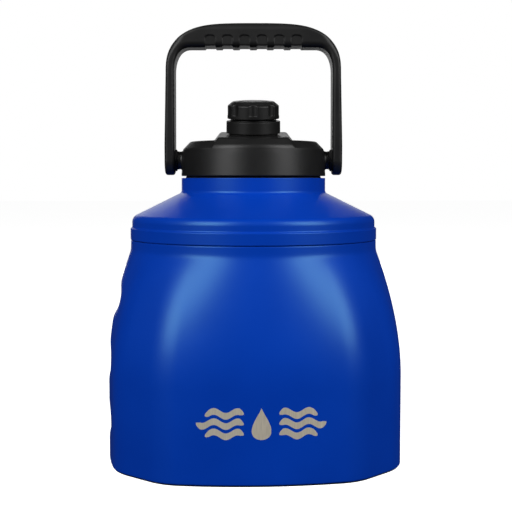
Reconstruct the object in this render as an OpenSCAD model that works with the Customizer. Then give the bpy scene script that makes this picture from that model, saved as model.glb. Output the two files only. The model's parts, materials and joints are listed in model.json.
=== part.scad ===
// Insulated one-gallon water jug: a steel double-wall vessel with a soft eight-sided body, a screw
// lid with a tilted drinking spout and its own screw cap, and a swinging carry handle.
// Millimetres. +Z is up, the origin is the middle of the underside, and the front faces -Y.

/* [Body] */
// Distance from the axis to a main side, at the ends of the side
side_dist = 93; // [88:0.5:96]
// How far each main side bulges at its middle
side_bulge = 7.6; // [6:0.2:10]
// Length cut off each corner, along both sides
corner_cut = 30; // [24:1:36]
// Softness of the upright edges
edge_soft = 6; // [3:0.5:8]
// Height at which the body reaches its full width
full_width_z = 60; // [50:1:70]
// Height of the collar's lower edge, where the sides start to flare
collar_z = 141.7; // [138:0.1:150]
// Height of the collar that the shoulder laps into
collar_h = 6.9; // [6.5:0.1:9]
// Outer radius of the collar
collar_r = 85.2; // [84:0.1:88]
// Wall of the outer shell
shell_wall = 0.8; // [0.6:0.1:1]
// Rounding of the shell's bottom edge
foot_round = 1.2; // [1.1:0.1:2]
// Width of the flange that turns in under the body
foot_flange_w = 6; // [4:0.5:8]

/* [Finger dents] */
// Depth of the three dents in the left side
dent_depth = 3.6; // [2:0.2:4]
// Height of each dent from top to bottom
dent_h = 28; // [20:1:32]
// Half of the angle that a dent spans round the side
dent_half_angle = 28; // [20:1:30]
// Height of the lowest dent's middle
dent_z = 28; // [24:1:30]
// Distance between the dents
dent_pitch = 40; // [36:1:42]

/* [Shoulder] */
// Height of the open seam between the lower shell and the shoulder
seam_gap = 0.8; // [0.4:0.1:1.2]
// How far the raised band over the seam stands proud of the collar
band_proud = 0.3; // [0.1:0.1:1]
// Height of the raised band
band_h = 7.7; // [6:0.1:9]
// Step in from the raised band to the shoulder, both inwards and upwards
band_step = 1.2; // [0.6:0.1:2]
// Height of the shoulder's straight side over the band
shoulder_side_h = 1.8; // [0.5:0.1:4]
// Rounding of the shoulder's corner
shoulder_round = 9.5; // [6:0.5:10]
// Slope of the shoulder's cone
shoulder_slope = 26.2; // [24:0.1:28]
// Length of the lap flange that goes down inside the collar
lap_len = 5.8; // [4:0.1:6]
// Clearance of the lap flange in the collar
lap_clear = 0.4; // [0.3:0.1:0.6]

/* [Neck] */
// Outer radius of the neck
neck_r = 50; // [49:0.1:52]
// Height of the neck's rim over the cone
neck_h = 9.7; // [8:0.1:14]
// Hollow fillet between the cone and the neck
neck_fillet = 2.5; // [1.5:0.1:3]
// Depth of the rim over the liner's flange
rim_proud = 0.4; // [0.2:0.1:0.6]

/* [Liner] */
// Wall of the inner vessel
liner_wall = 0.6; // [0.5:0.1:0.8]
// Narrowest gap between the liner and the outer shell
vacuum_gap = 3; // [2:0.1:5]
// Height of the liner's floor
liner_floor_z = 12; // [11:0.5:16]
// Rounding between the liner's floor and its wall
liner_round = 10; // [6:1:14]
// Height of the liner's straight wall over the body's full width
liner_wide_h = 26; // [15:1:28]
// Height of the liner's narrow part over the collar's lower edge
liner_narrow_h = 2.3; // [1:0.1:5]
// Rounding of the liner's shoulder corner
liner_corner = 6; // [4:1:8]
// Drop of the liner's cone below the shoulder's cone, down the axis
liner_cone_drop = 6.6; // [5:0.1:8]
// Width of the lip between the neck's outside and the mouth
lip_w = 4.8; // [4:0.1:6]

/* [Base] */
// Thickness of the rubber pad under the body
pad_h = 0.8; // [0.6:0.1:2]
// Distance from the body's outline to the pad's edge
pad_inset = 1.2; // [1:0.1:4]
// Radius of the hole in the pad round the vacuum plug
pad_hole_r = 16; // [12:1:24]
// Thickness of the bottom plate
plate_t = 1; // [0.8:0.1:1.4]
// Distance from the body's outline to the bottom plate's edge
plate_inset = 4; // [3:0.1:5]
// Radius of the stiffening bead in the bottom plate
bead_r = 62; // [50:1:68]
// Radius of the evacuation port in the bottom plate
port_r = 2.2; // [1.5:0.1:3]
// Radius of the cover disc over the port
port_disc_r = 8; // [6:0.5:10]
// Thickness of the cover disc
port_disc_t = 1; // [0.6:0.1:1.1]
// Radius of the getter pill on the liner's underside
getter_r = 9; // [6:0.5:12]
// Height of the getter pill
getter_h = 2.2; // [1.5:0.1:3]

/* [Lid] */
// Turn of the closed lid on the neck, seen from above
lid_angle = -3; // [-180:1:180]
// Gap between the neck's rim and the lid's skirt
skirt_gap = 1.3; // [1:0.1:2]
// Height of the lid's skirt up to its bevel
skirt_h = 18.4; // [17:0.1:20]
// How far the skirt's bottom edge stands proud of the neck
skirt_over = 0.15; // [0:0.05:1]
// Draft of the skirt up to its bevel
skirt_draft = 1.25; // [0.5:0.05:2]
// Height of the bevel
bevel_h = 5.3; // [4:0.1:6]
// Width of the bevel
bevel_w = 5.1; // [4:0.1:6]
// Wall of the lid's cover
cover_wall = 2.5; // [2:0.1:2.6]
// Thickness of the lid's silicone gasket
gasket_h = 3.2; // [2.4:0.1:4]
// Width of the lid's silicone gasket
gasket_w = 1.6; // [1.2:0.1:2]
// Depth of the plug below its thread
plug_lead_in = 2.2; // [1:0.1:4]
// Wall of the plug
plug_wall = 2.3; // [2:0.1:3]
// Thickness of the plug's floor and flange
plug_floor_t = 2.2; // [2:0.1:3]
// Air gap between the foam disc and the cover
foam_gap = 9.5; // [8:0.1:20]

/* [Lid thread] */
// Rise of the lid for each turn
lid_lead = 8; // [7:0.5:9]
// Turns of thread on the plug and in the mouth
lid_thread_turns = 1.25; // [1:0.05:1.25]
// Height of the thread ridges
lid_ridge_h = 1.5; // [1.2:0.1:1.6]
// Clearance at the crests and at the flanks of the threads
thread_clear = 0.4; // [0.3:0.05:0.5]

/* [Spout] */
// Distance from the lid's axis to the middle of the spout
spout_offset = 20; // [17:0.5:21]
// Forward tilt of the spout
spout_tilt = 7; // [4:0.5:9]
// Height of the tilted platform over the lid's top, at the spout's axis
platform_h = 3.9; // [3.5:0.1:5]
// Outer radius of the spout
spout_r = 12; // [10:0.5:12]
// Wall of the spout
spout_wall = 2; // [1.6:0.1:2.5]
// Thickness of the spout's flange under the cover
spout_flange_t = 2.2; // [1.8:0.1:2.6]
// Thickness of the silicone washer under the collar ring
washer_t = 1.3; // [1:0.1:1.6]
// Width of the silicone washer under the collar ring
washer_w = 4.5; // [3:0.1:5]
// Width of the collar ring
ring_w = 6.3; // [5:0.1:7]
// Height of the collar ring
ring_h = 8.2; // [7:0.1:8.5]

/* [Platform] */
// Distance from the lid's axis to the platform's rear edge, backwards
platform_rear = 4; // [2:0.5:8]
// Half width of the platform at its front edge
platform_half_w = 23.4; // [21:0.1:25]
// Distance from the skirt's front to the platform's front edge
platform_back = 4.9; // [4:0.1:6]
// Angle in plan between the platform's side faces and the front-to-back line
platform_yaw = 4.7; // [2:0.1:6]
// Slope of the platform's sides
platform_slope = 45; // [40:1:50]

/* [Cap] */
// Gap between the collar ring and the cap
cap_gap = 1.5; // [1.2:0.1:2]
// Wall of the cap
cap_wall = 2.2; // [1.8:0.1:2.6]
// Height of the cap's straight side
cap_side_h = 8.7; // [8:0.1:10]
// Height of the cap's bevel
cap_bevel_h = 2.9; // [2.5:0.1:3.2]
// Width of the cap's bevel
cap_bevel_w = 3.7; // [3:0.1:4]
// Width of the flat ring round the raised disc on top of the cap
cap_land_w = 3.3; // [2:0.1:5]
// Height of the raised disc on top of the cap
cap_disc_h = 0.3; // [0.2:0.1:0.6]
// Number of grip flutes round the cap
flute_count = 8; // [6:1:10]
// Radius of the cutter that makes a flute
flute_r = 4; // [3:0.1:5]
// Depth of a flute
flute_depth = 1.4; // [0.8:0.1:1.5]
// Height of the plain rim under the flutes
flute_rim_h = 2.2; // [1.5:0.1:3]
// Wall of the cap's threaded liner
cap_liner_wall = 1.6; // [1.4:0.1:1.6]
// Thickness of the cap's seal
seal_t = 1.3; // [1:0.1:1.5]
// Rise of the cap for each turn
cap_lead = 6; // [5:0.5:6]
// Turns of thread on the spout and in the cap
cap_thread_turns = 0.9; // [0.7:0.05:0.9]
// Height of the cap's thread ridges
cap_ridge_h = 1.2; // [1:0.1:1.2]

/* [Handle] */
// Height of the pivots over the skirt's bottom edge
pivot_h = 10.9; // [10:0.1:12]
// Height of the handle's top over the pivots
handle_h = 94.3; // [88:0.1:100]
// Gap between the lid's skirt and each arm
arm_gap = 4.15; // [3.5:0.05:8]
// Thickness of an arm at its pivot
arm_t = 7; // [6.5:0.1:8]
// Amount by which an arm is thinner at the top of its straight part
arm_taper = 1.2; // [0:0.1:1.5]
// Radius of the arm's round end
arm_end_r = 10.2; // [9.5:0.1:11]
// Depth of the grip, front to back
grip_depth = 25; // [22:0.5:28]
// Height of the grip's section
grip_t = 17.4; // [15:0.1:19]
// Height of the outer corner curve
corner_h = 36; // [32:0.5:40]
// Width and height of the curve inside each corner
inner_corner_w = 11; // [8:0.5:16]
inner_corner_h = 17; // [14:0.5:22]
// Rounding of the grip's top edges
grip_round = 6; // [4:0.5:7]
// Number of finger notches under the grip
notch_count = 6; // [4:1:6]
// Distance between the notches
notch_pitch = 11.8; // [10:0.1:13]
// Width of a notch
notch_w = 7; // [5:0.1:8]
// Height of a notch on the grip's faces
notch_h = 8; // [5:0.1:9]
// Depth of a notch
notch_depth = 1.2; // [0.8:0.1:1.6]
// Depth of the groove that joins each pair of notches under the grip
groove_depth = 1; // [0.5:0.1:1.5]

/* [Pivots] */
// Radius of the hubs on the lid
hub_r = 6.5; // [6:0.1:7]
// Thickness of the friction washers
friction_t = 2; // [1.5:0.1:2.2]
// Radius of the friction washers
friction_r = 7.5; // [7:0.1:8]
// Radius of the pivot screws
screw_r = 3.1; // [2.5:0.1:3.2]
// How far the screw heads reach over the bushes
head_over = 0.8; // [0.5:0.1:1.5]
// Thickness of the screw heads
head_t = 1.4; // [1.2:0.1:1.5]
// Running clearance of the screws in their bushes
run_clear = 0.07; // [0.03:0.01:0.1]
// Wall of the bushes
bush_wall = 1.4; // [1:0.1:1.6]
// Depth of the pocket for a screw head and its cover
pocket_d = 2.7; // [2.6:0.1:3]
// Thickness of the pivot covers
pivot_cap_t = 1; // [0.8:0.1:1]

/* [Hidden] */

BLUE = [0.02, 0.2, 0.68];
BLACK = [0.1, 0.1, 0.1];
STEEL = [0.75, 0.75, 0.77];
SILICONE = [0.16, 0.16, 0.16];

ROUND = 96;             // steps of a full turn on round parts
BODY_STEPS = 64;        // points round the eight-sided body
BODY_LEVELS = 21;       // rings up its flare
BIG = 90;               // side of the blocks that cut a half space away
SINK = 0.4;             // how deep a thread's root lies in its wall

body_r = side_dist + side_bulge;
foot_z = pad_h + foot_round;
collar_top_z = collar_z + collar_h;
shoulder_z = collar_top_z + seam_gap;
band_top_z = shoulder_z + band_h;
band_r = collar_r + band_proud;
shoulder_r = band_r - band_step;
corner_z = band_top_z + shoulder_side_h;     // middle of the shoulder's round corner
neck_top_z = cone_at(neck_r, 0) + neck_h;
mouth_r = neck_r - lip_w;
liner_r = body_r - shell_wall - dent_depth - vacuum_gap - liner_wall;
liner_top_r = collar_r - 2 * shell_wall - lap_clear - vacuum_gap - liner_wall;
flange_z = neck_top_z - rim_proud;          // top of the liner's flange
ledge_z = flange_z - shell_wall;            // top of the ledge that the flange sits on
skirt_z = neck_top_z + skirt_gap;
skirt_r = neck_r + skirt_over;
skirt_top_r = skirt_r - skirt_draft;
arm_inner = skirt_r + arm_gap;
skirt_top_z = skirt_z + skirt_h;
lid_top_z = skirt_top_z + bevel_h + 0.3;
platform_front = skirt_top_r - platform_back;
pivot_z = skirt_z + pivot_h;
plug_flange_z = flange_z + gasket_h;
thread_z = flange_z - lid_lead * lid_thread_turns - 2.4;    // lowest middle of the mouth's thread
plug_z = thread_z - 3.5 - thread_clear - plug_lead_in;
plug_r = mouth_r - lid_ridge_h - thread_clear;
platform_z = lid_top_z + platform_h;
ring_top_s = washer_t + ring_h;
cap_s = ring_top_s + cap_gap;
cap_top_s = cap_s + cap_side_h + cap_bevel_h;
cap_roof_s = cap_top_s - 1.3;
seal_top_s = cap_roof_s - 1;
spout_h = seal_top_s - seal_t;              // the spout's rim over the platform
spout_thread_s = cap_s + 1.4;               // lowest middle of the spout's thread
ring_r = spout_r + ring_w;
cap_liner_r = spout_r + cap_ridge_h + thread_clear;
cap_bore_r = cap_liner_r + cap_liner_wall + 0.1;
cap_r = cap_bore_r + cap_wall;
bush_r = screw_r + run_clear + bush_wall;
head_r = bush_r + head_over;
handle_top_z = pivot_z + handle_h;

// ---- outline of the body ----

// Angle to the middle of the nearest of n equal sides
function off_side(a, n) = abs((a + 180 / n + 360) % (360 / n) - 180 / n);

// Smaller of two lengths, blended over k where they cross
function soft_min(a, b, k) = min(a, b) - pow(max(k - abs(a - b), 0), 2) / (4 * k);

// Radius of the soft eight-sided outline at its full width
function full_r(a) =
    let (phi = off_side(a, 4))
    let (half = side_dist - corner_cut)
    let (arc_r = (half * half + side_bulge * side_bulge) / (2 * side_bulge))
    let (back = arc_r - body_r)
    let (side = sqrt(arc_r * arc_r - pow(back * sin(phi), 2)) - back * cos(phi))
    let (corner = (side_dist + half) / sqrt(2) / cos(45 - phi))
    soft_min(side, corner, edge_soft);

// Share of the flare that is reached at height z, from 0 at the collar to 1
function flare(z) =
    let (t = min(1, max(0, (collar_z - z) / (collar_z - full_width_z))))
    t * (2 - t);

// Depth of the finger dents on the left side
function dent(a, z) =
    let (off = abs((a + 360) % 360 - 180))
    let (across = off < dent_half_angle ? pow(cos(90 * off / dent_half_angle), 2) : 0)
    let (n = max(0, min(2, round((z - dent_z) / dent_pitch))))
    let (up = abs(z - dent_z - n * dent_pitch))
    dent_depth * across * (up < dent_h / 2 ? pow(cos(180 * up / dent_h), 2) : 0);

function body_at(a, z) = collar_r + (full_r(a) - collar_r) * flare(z) - dent(a, z);

// Closed section of the lower shell at angle a, as radius and height
function shell_section(a) = concat(
    [[full_r(a) - foot_round - foot_flange_w, pad_h]],
    [for (i = [0:2]) [full_r(a) - foot_round * (1 - sin(45 * i)), foot_z - foot_round * cos(45 * i)]],
    [for (i = [1:BODY_LEVELS]) let (z = level_z(i)) [body_at(a, z), z]],
    [[collar_r, collar_top_z], [collar_r - shell_wall, collar_top_z]],
    [for (i = [BODY_LEVELS:-1:1]) let (z = level_z(i)) [body_at(a, z) - shell_wall, z]],
    [for (i = [2:-1:0]) let (r = foot_round - shell_wall)
        [full_r(a) - foot_round + r * sin(45 * i), foot_z - r * cos(45 * i)]],
    [[full_r(a) - foot_round - foot_flange_w, pad_h + shell_wall]]
);
function level_z(i) = foot_z + (collar_z - foot_z) * i / BODY_LEVELS;

// Body outline drawn in by a fixed distance
function body_outline(inset) =
    [for (i = [0:BODY_STEPS - 1]) let (a = 360 * i / BODY_STEPS) (full_r(a) - inset) * [cos(a), sin(a)]];

// ---- curves ----

function arc(c, r, a0, a1, steps) =
    [for (i = [0:steps]) let (a = a0 + (a1 - a0) * i / steps) c + r * [cos(a), sin(a)]];

// Quarter of a rounded rectangle's curve, from the side (w, 0) to the top (0, h)
function super_arc(w, h, power, steps) =
    [for (i = [0:steps]) let (a = 90 * i / steps)
        [w * pow(cos(a), 2 / power), h * pow(sin(a), 2 / power)]];

function mirrored(path) = [for (i = [len(path) - 1:-1:0]) [-path[i][0], path[i][1]]];
function shifted(path, z) = [for (p = path) [p[0], p[1] + z]];

// Height of the cone's surface at radius r, when it is moved inwards by depth
function cone_at(r, depth) =
    corner_z + (shoulder_r - shoulder_round - r) * tan(shoulder_slope)
    + (shoulder_round - depth) / cos(shoulder_slope);

// Middle of a round corner of radius c that meets the cone, on a wall of radius r
function cone_corner(r, c, depth) =
    [r - c, cone_at(r - c, depth) - c / cos(shoulder_slope)];

// ---- shared shapes ----

module revolve(path) {
    rotate_extrude($fn = ROUND) polygon(path);
}

module tube(r_in, r_out, z0, z1) {
    revolve([[r_in, z0], [r_out, z0], [r_out, z1], [r_in, z1]]);
}

// One screw thread ridge, right-handed, whose middle starts at height z
module thread(root, crest, lead, turns, z, w_root, w_crest) {
    steps = 36;
    n = ceil(turns * steps);
    sink = crest > root ? -SINK : SINK;
    ring = function(i)
        let (a = 360 * i / steps)
        let (h = z + lead * i / steps)
        let (out = root + (crest - root) * min(1, (i + 0.5) / 3, (n - i + 0.5) / 3))
        [for (p = [[root + sink, -w_root], [out, -w_crest], [out, w_crest], [root + sink, w_root]])
            [p[0] * cos(a), p[0] * sin(a), h + p[1] / 2]];
    faces = concat(
        [[3, 2, 1, 0], [for (j = [0:3]) 4 * n + j]],
        [for (i = [0:n - 1]) for (j = [0:3]) let (k = (j + 1) % 4)
            [4 * i + j, 4 * i + k, 4 * i + 4 + k, 4 * i + 4 + j]]
    );
    polyhedron(
        [for (i = [0:n]) each ring(i)],
        crest > root ? faces : [for (f = faces) [for (k = [len(f) - 1:-1:0]) f[k]]]
    );
}

// Everything on the lid turns with it
module on_lid() {
    rotate([0, 0, lid_angle]) children();
}

// The spout's own frame: its axis up, and the platform at height 0
module on_spout() {
    on_lid() translate([0, -spout_offset, platform_z]) rotate([spout_tilt, 0, 0]) children();
}

// A pivot's own frame: +Z points outwards along the pivot axis from the middle of the lid
module on_pivots() {
    on_lid() for (side = [-1, 1]) translate([0, 0, pivot_z]) rotate([0, 90 * side, 0]) children();
}

// ---- vessel ----

module outer_shell() {
    count = len(shell_section(0));
    points = [for (i = [0:BODY_STEPS - 1])
        let (a = 360 * i / BODY_STEPS)
        for (p = shell_section(a)) [p[0] * cos(a), p[0] * sin(a), p[1]]];
    faces = [for (i = [0:BODY_STEPS - 1]) for (j = [0:count - 1])
        let (k = (j + 1) % count)
        let (next = (i + 1) % BODY_STEPS)
        [count * i + j, count * i + k, count * next + k, count * next + j]];
    color(BLUE) polyhedron(points, faces);
}

module shoulder_shell() {
    turn = 90 - shoulder_slope;
    corner = cone_corner(shoulder_r, shoulder_round, 0);
    fillet = [neck_r + neck_fillet,
        cone_at(neck_r + neck_fillet, 0) + neck_fillet / cos(shoulder_slope)];
    lap_r = collar_r - shell_wall - lap_clear;
    lap_z = shoulder_z - lap_len;
    in = shell_wall;
    outside = concat(
        [[lap_r, lap_z], [lap_r, shoulder_z], [band_r - 0.3, shoulder_z], [band_r, shoulder_z + 0.3]],
        [[band_r, band_top_z], [shoulder_r, band_top_z + 0.8]],
        arc(corner, shoulder_round, 0, turn, 8),
        arc(fillet, neck_fillet, 180 + turn, 180, 5),
        arc([neck_r - 0.4, neck_top_z - 0.4], 0.4, 0, 90, 3)
    );
    inside = concat(
        [[neck_r - in, neck_top_z], [neck_r - in, ledge_z], [mouth_r + liner_wall + 0.4, ledge_z]],
        [[mouth_r + liner_wall + 0.4, ledge_z - in], [neck_r - in, ledge_z - in]],
        arc(fillet, neck_fillet + in, 180, 180 + turn, 5),
        arc(corner, shoulder_round - in, turn, 0, 8),
        [[shoulder_r - in, band_top_z + 0.8], [band_r - in, band_top_z]],
        [[band_r - in, shoulder_z + in], [lap_r - in, shoulder_z + in], [lap_r - in, lap_z]]
    );
    color(BLUE) revolve(concat(outside, inside));
}

// Path of the liner's wall from the floor to the mouth, moved outwards by t
function liner_path(t) = concat(
    [[0, liner_floor_z - t]],
    arc([liner_r - liner_round, liner_floor_z + liner_round], liner_round + t, -90, 0, 8),
    [[liner_r + t, full_width_z + liner_wide_h], [liner_top_r + t, collar_z + liner_narrow_h]],
    arc(cone_corner(liner_top_r, liner_corner, liner_cone_drop), liner_corner + t,
        0, 90 - shoulder_slope, 6),
    [[mouth_r + t, cone_at(mouth_r + t, liner_cone_drop - t)]]
);

module inner_vessel() {
    outside = liner_path(liner_wall);
    inside = liner_path(0);
    lip = [[mouth_r + liner_wall, ledge_z], [neck_r - shell_wall - 0.3, ledge_z],
        [neck_r - shell_wall - 0.3, flange_z], [mouth_r, flange_z]];
    color(STEEL) {
        revolve(concat(outside, lip, [for (i = [len(inside) - 1:-1:0]) inside[i]]));
        thread(mouth_r, mouth_r - lid_ridge_h, lid_lead, lid_thread_turns, thread_z, 2.8, 1.4);
    }
}

module shell_bottom() {
    z = pad_h + shell_wall;
    color(BLUE) difference() {
        union() {
            translate([0, 0, z]) linear_extrude(plate_t) polygon(body_outline(plate_inset));
            translate([0, 0, z]) revolve([[bead_r, 0], [bead_r + 8, 0], [bead_r + 6, 2.4], [bead_r + 2, 2.4]]);
        }
        translate([0, 0, z - 1]) cylinder(r = port_r, h = plate_t + 2, $fn = 32);
        translate([0, 0, z - 1]) revolve([[bead_r + 1.4, 0], [bead_r + 6.6, 0], [bead_r + 5.4, 2.4],
            [bead_r + 2.6, 2.4]]);
    }
}

module vacuum_plug() {
    z = pad_h + shell_wall;
    color(STEEL) revolve([[0, z - port_disc_t], [port_disc_r - 0.4, z - port_disc_t], [port_disc_r, z - 0.5],
        [port_disc_r, z], [port_r - 0.1, z], [port_r - 0.1, z + plate_t + 1], [0, z + plate_t + 1]]);
}

module getter() {
    z = liner_floor_z - liner_wall;
    color(STEEL) revolve([[0, z - getter_h], [getter_r - 0.6, z - getter_h], [getter_r, z - getter_h + 0.6],
        [getter_r, z], [0, z]]);
}

module base_pad() {
    color(SILICONE) difference() {
        linear_extrude(pad_h) polygon(body_outline(pad_inset));
        translate([0, 0, -1]) cylinder(r = pad_hole_r, h = pad_h + 2, $fn = ROUND);
    }
}

// ---- lid ----

module lid_gasket() {
    r = mouth_r + 0.2;
    color(SILICONE) on_lid() revolve([[r, flange_z], [r + gasket_w, flange_z],
        [r + gasket_w, flange_z + 1], [r + gasket_w - 0.4, flange_z + gasket_h / 2],
        [r + gasket_w, plug_flange_z - 1], [r + gasket_w, plug_flange_z], [r, plug_flange_z]]);
}

// The block that carries the tilted platform, from the skirt's top edge upwards
module platform_block() {
    front_z = platform_z - (platform_front - spout_offset) * tan(spout_tilt);
    rear_z = platform_z + (platform_rear + spout_offset) * tan(spout_tilt);
    rise = lid_top_z + 12 - skirt_top_z;
    lean = (skirt_top_r - platform_front - 0.4) / (front_z - skirt_top_z);
    difference() {
        revolve([[0, lid_top_z - 1.7], [skirt_top_r - bevel_w - 0.8, lid_top_z - 1.7],
            [skirt_top_r - 1.1, skirt_top_z], [skirt_top_r, skirt_top_z],
            [skirt_top_r - lean * rise, skirt_top_z + rise], [0, skirt_top_z + rise]]);
        translate([0, -spout_offset, platform_z]) rotate([spout_tilt, 0, 0])
            translate([-BIG, -BIG, 0]) cube([2 * BIG, 2 * BIG, BIG]);
        for (side = [0, 1]) mirror([side, 0, 0])
            translate([platform_half_w, -platform_front, front_z])
            rotate([0, -platform_slope, -platform_yaw])
            translate([0, -BIG, -BIG]) cube([BIG, 2 * BIG, 2 * BIG]);
        translate([0, platform_rear, rear_z]) rotate([45, 0, 0])
            translate([-BIG, 0, -BIG]) cube([2 * BIG, BIG, 2 * BIG]);
    }
}

module lid_cover() {
    bevel_r = skirt_top_r - bevel_w;
    w = cover_wall;
    color(BLACK) on_lid() difference() {
        union() {
            revolve([[skirt_r - w, skirt_z], [skirt_r, skirt_z], [skirt_top_r, skirt_top_z],
                [bevel_r, skirt_top_z + bevel_h], [bevel_r - 2, lid_top_z], [0, lid_top_z],
                [0, lid_top_z - w], [bevel_r - 1, lid_top_z - w],
                [skirt_top_r - w, skirt_top_z - 0.8]]);
            platform_block();
            for (side = [-1, 1]) translate([0, 0, pivot_z]) rotate([0, 90 * side, 0])
                translate([0, 0, skirt_top_r - 5]) cylinder(r = hub_r, h = arm_inner - friction_t - skirt_top_r + 5,
                    $fn = ROUND);
        }
        for (side = [-1, 1]) translate([0, 0, pivot_z]) rotate([0, 90 * side, 0])
            translate([0, 0, skirt_top_r - 6]) cylinder(r = screw_r + run_clear, h = 12, $fn = 48);
        translate([0, -spout_offset, platform_z]) rotate([spout_tilt, 0, 0]) {
            translate([0, 0, -20]) cylinder(r = spout_r + 0.2, h = 30, $fn = ROUND);
            translate([0, 0, -cover_wall - 14]) cylinder(r = spout_r + 4, h = 14, $fn = ROUND);
        }
    }
}

module lid_plug() {
    floor_z = plug_z + plug_floor_t;
    neck_in = plug_r - plug_wall;
    top_r = skirt_top_r - bevel_w - 1.6;
    flange_top = plug_flange_z + plug_floor_t;
    flange_r = skirt_r - cover_wall - 0.5;
    color(BLACK) {
        on_lid() difference() {
            revolve([[0, plug_z], [plug_r - 1, plug_z], [plug_r, plug_z + 1], [plug_r, plug_flange_z],
                [flange_r, plug_flange_z], [flange_r, flange_top], [top_r, flange_top],
                [top_r, lid_top_z - cover_wall], [top_r - plug_wall, lid_top_z - cover_wall],
                [top_r - plug_wall, flange_top], [neck_in, flange_top - 2], [neck_in, floor_z],
                [0, floor_z]]);
            translate([0, -spout_offset, platform_z]) rotate([spout_tilt, 0, 0])
                translate([0, 0, -70]) cylinder(r = spout_r + 0.1, h = 70, $fn = ROUND);
        }
        thread(plug_r, plug_r + lid_ridge_h, lid_lead, lid_thread_turns,
            thread_z - 2.1 - thread_clear, 2.8, 1.4);
    }
}

module lid_foam() {
    z = plug_z + plug_floor_t;
    color([0.85, 0.83, 0.75]) on_lid() difference() {
        translate([0, 0, z])
            cylinder(r = skirt_top_r - bevel_w - 2 - plug_wall, h = lid_top_z - cover_wall - foam_gap - z,
                $fn = ROUND);
        translate([0, -spout_offset, platform_z]) rotate([spout_tilt, 0, 0])
            translate([0, 0, -70]) cylinder(r = spout_r + 0.4, h = 70, $fn = ROUND);
    }
}

module spout() {
    low = -(platform_z - plug_z) / cos(spout_tilt);
    under = -cover_wall - 0.1;
    bore_r = spout_r - spout_wall;
    color(BLACK) on_spout() {
        revolve([[bore_r, low], [spout_r, low], [spout_r, under - spout_flange_t],
            [spout_r + 3.5, under - spout_flange_t], [spout_r + 3.5, under], [spout_r, under],
            [spout_r, spout_h - 0.6], [spout_r - 0.6, spout_h], [bore_r + 0.4, spout_h],
            [bore_r, spout_h - 0.4]]);
        thread(spout_r, spout_r + cap_ridge_h, cap_lead, cap_thread_turns, spout_thread_s, 2, 1);
    }
}

module spout_washer() {
    color(SILICONE) on_spout() tube(spout_r + 0.1, spout_r + 0.1 + washer_w, 0, washer_t);
}

module spout_collar() {
    color(BLACK) on_spout() revolve([[spout_r + 0.1, washer_t], [ring_r - 0.3, washer_t],
        [ring_r, washer_t + 0.5], [ring_r - 0.3, ring_top_s - 0.4], [ring_r - 0.7, ring_top_s],
        [spout_r + 3.5, ring_top_s], [spout_r + 3.5, ring_top_s + 0.8], [spout_r + 0.1, ring_top_s + 0.8]]);
}

// ---- cap ----

module cap_seal() {
    color(SILICONE) on_spout() translate([0, 0, spout_h])
        cylinder(r = cap_liner_r - 0.3, h = seal_t, $fn = ROUND);
}

module cap_shell() {
    bevel_s = cap_s + cap_side_h;
    disc_r = cap_r - cap_bevel_w - cap_land_w;
    color(BLACK) on_spout() difference() {
        revolve([[cap_bore_r, cap_s], [cap_r - 0.3, cap_s], [cap_r, cap_s + 0.3], [cap_r, bevel_s],
            [cap_r - cap_bevel_w, cap_top_s], [disc_r + 0.3, cap_top_s],
            [disc_r, cap_top_s + cap_disc_h], [0, cap_top_s + cap_disc_h], [0, cap_roof_s],
            [cap_bore_r, cap_roof_s]]);
        for (i = [0:flute_count - 1]) rotate([0, 0, 360 * i / flute_count - 90])
            translate([cap_r - flute_depth + flute_r, 0, cap_s + flute_rim_h])
            cylinder(r = flute_r, h = cap_side_h + cap_bevel_h, $fn = 48);
    }
}

module cap_liner() {
    low_s = cap_s + 0.2;
    // The cap's ridge lies just under the spout's, so it starts further round to stay inside the cap
    pitch_drop = 1.5 + thread_clear;
    skip = low_s + 1 - (spout_thread_s - pitch_drop);
    color(BLACK) on_spout() {
        // Pressed in with its seam line turned away from the cap's own
        rotate([0, 0, 17]) revolve([[cap_liner_r, low_s], [cap_liner_r + cap_liner_wall, low_s],
            [cap_liner_r + cap_liner_wall, cap_roof_s], [0, cap_roof_s], [0, seal_top_s],
            [cap_liner_r, seal_top_s]]);
        rotate([0, 0, 360 * skip / cap_lead])
            thread(cap_liner_r, cap_liner_r - cap_ridge_h, cap_lead, cap_thread_turns, low_s + 1, 2, 1);
    }
}

// ---- handle ----

// Front view of the handle, over the pivot axis
function handle_outside() =
    let (w = arm_inner + arm_t)
    let (curve = shifted(super_arc(w - arm_taper, corner_h, 2.9, 24), handle_h - corner_h))
    concat([[w, -arm_end_r]], [[w, arm_end_r]], curve);

function handle_inside() =
    [for (p = super_arc(inner_corner_w, inner_corner_h, 2.3, 12))
        p + [arm_inner - inner_corner_w, handle_h - grip_t - inner_corner_h]];

module handle_front() {
    outside = handle_outside();
    inside = concat([[arm_inner, -arm_end_r]], handle_inside());
    difference() {
        polygon(concat(outside, mirrored(outside)));
        translate([0, -1]) polygon(concat([[arm_inner, -arm_end_r - 1]], shifted(inside, 1),
            shifted(mirrored(inside), 1), [[-arm_inner, -arm_end_r - 1]]));
    }
}

// Side view of the handle: a round end at the pivot, and a wider rounded top
module handle_side() {
    half = grip_depth / 2;
    wide_z = handle_h - corner_h;
    circle(r = arm_end_r, $fn = ROUND);
    polygon(concat(
        [[-arm_end_r, 0], [arm_end_r, 0], [half, wide_z]],
        arc([half - grip_round, handle_h - grip_round], grip_round, 0, 90, 8),
        arc([grip_round - half, handle_h - grip_round], grip_round, 90, 180, 8),
        [[-half, wide_z]]
    ));
}

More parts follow.
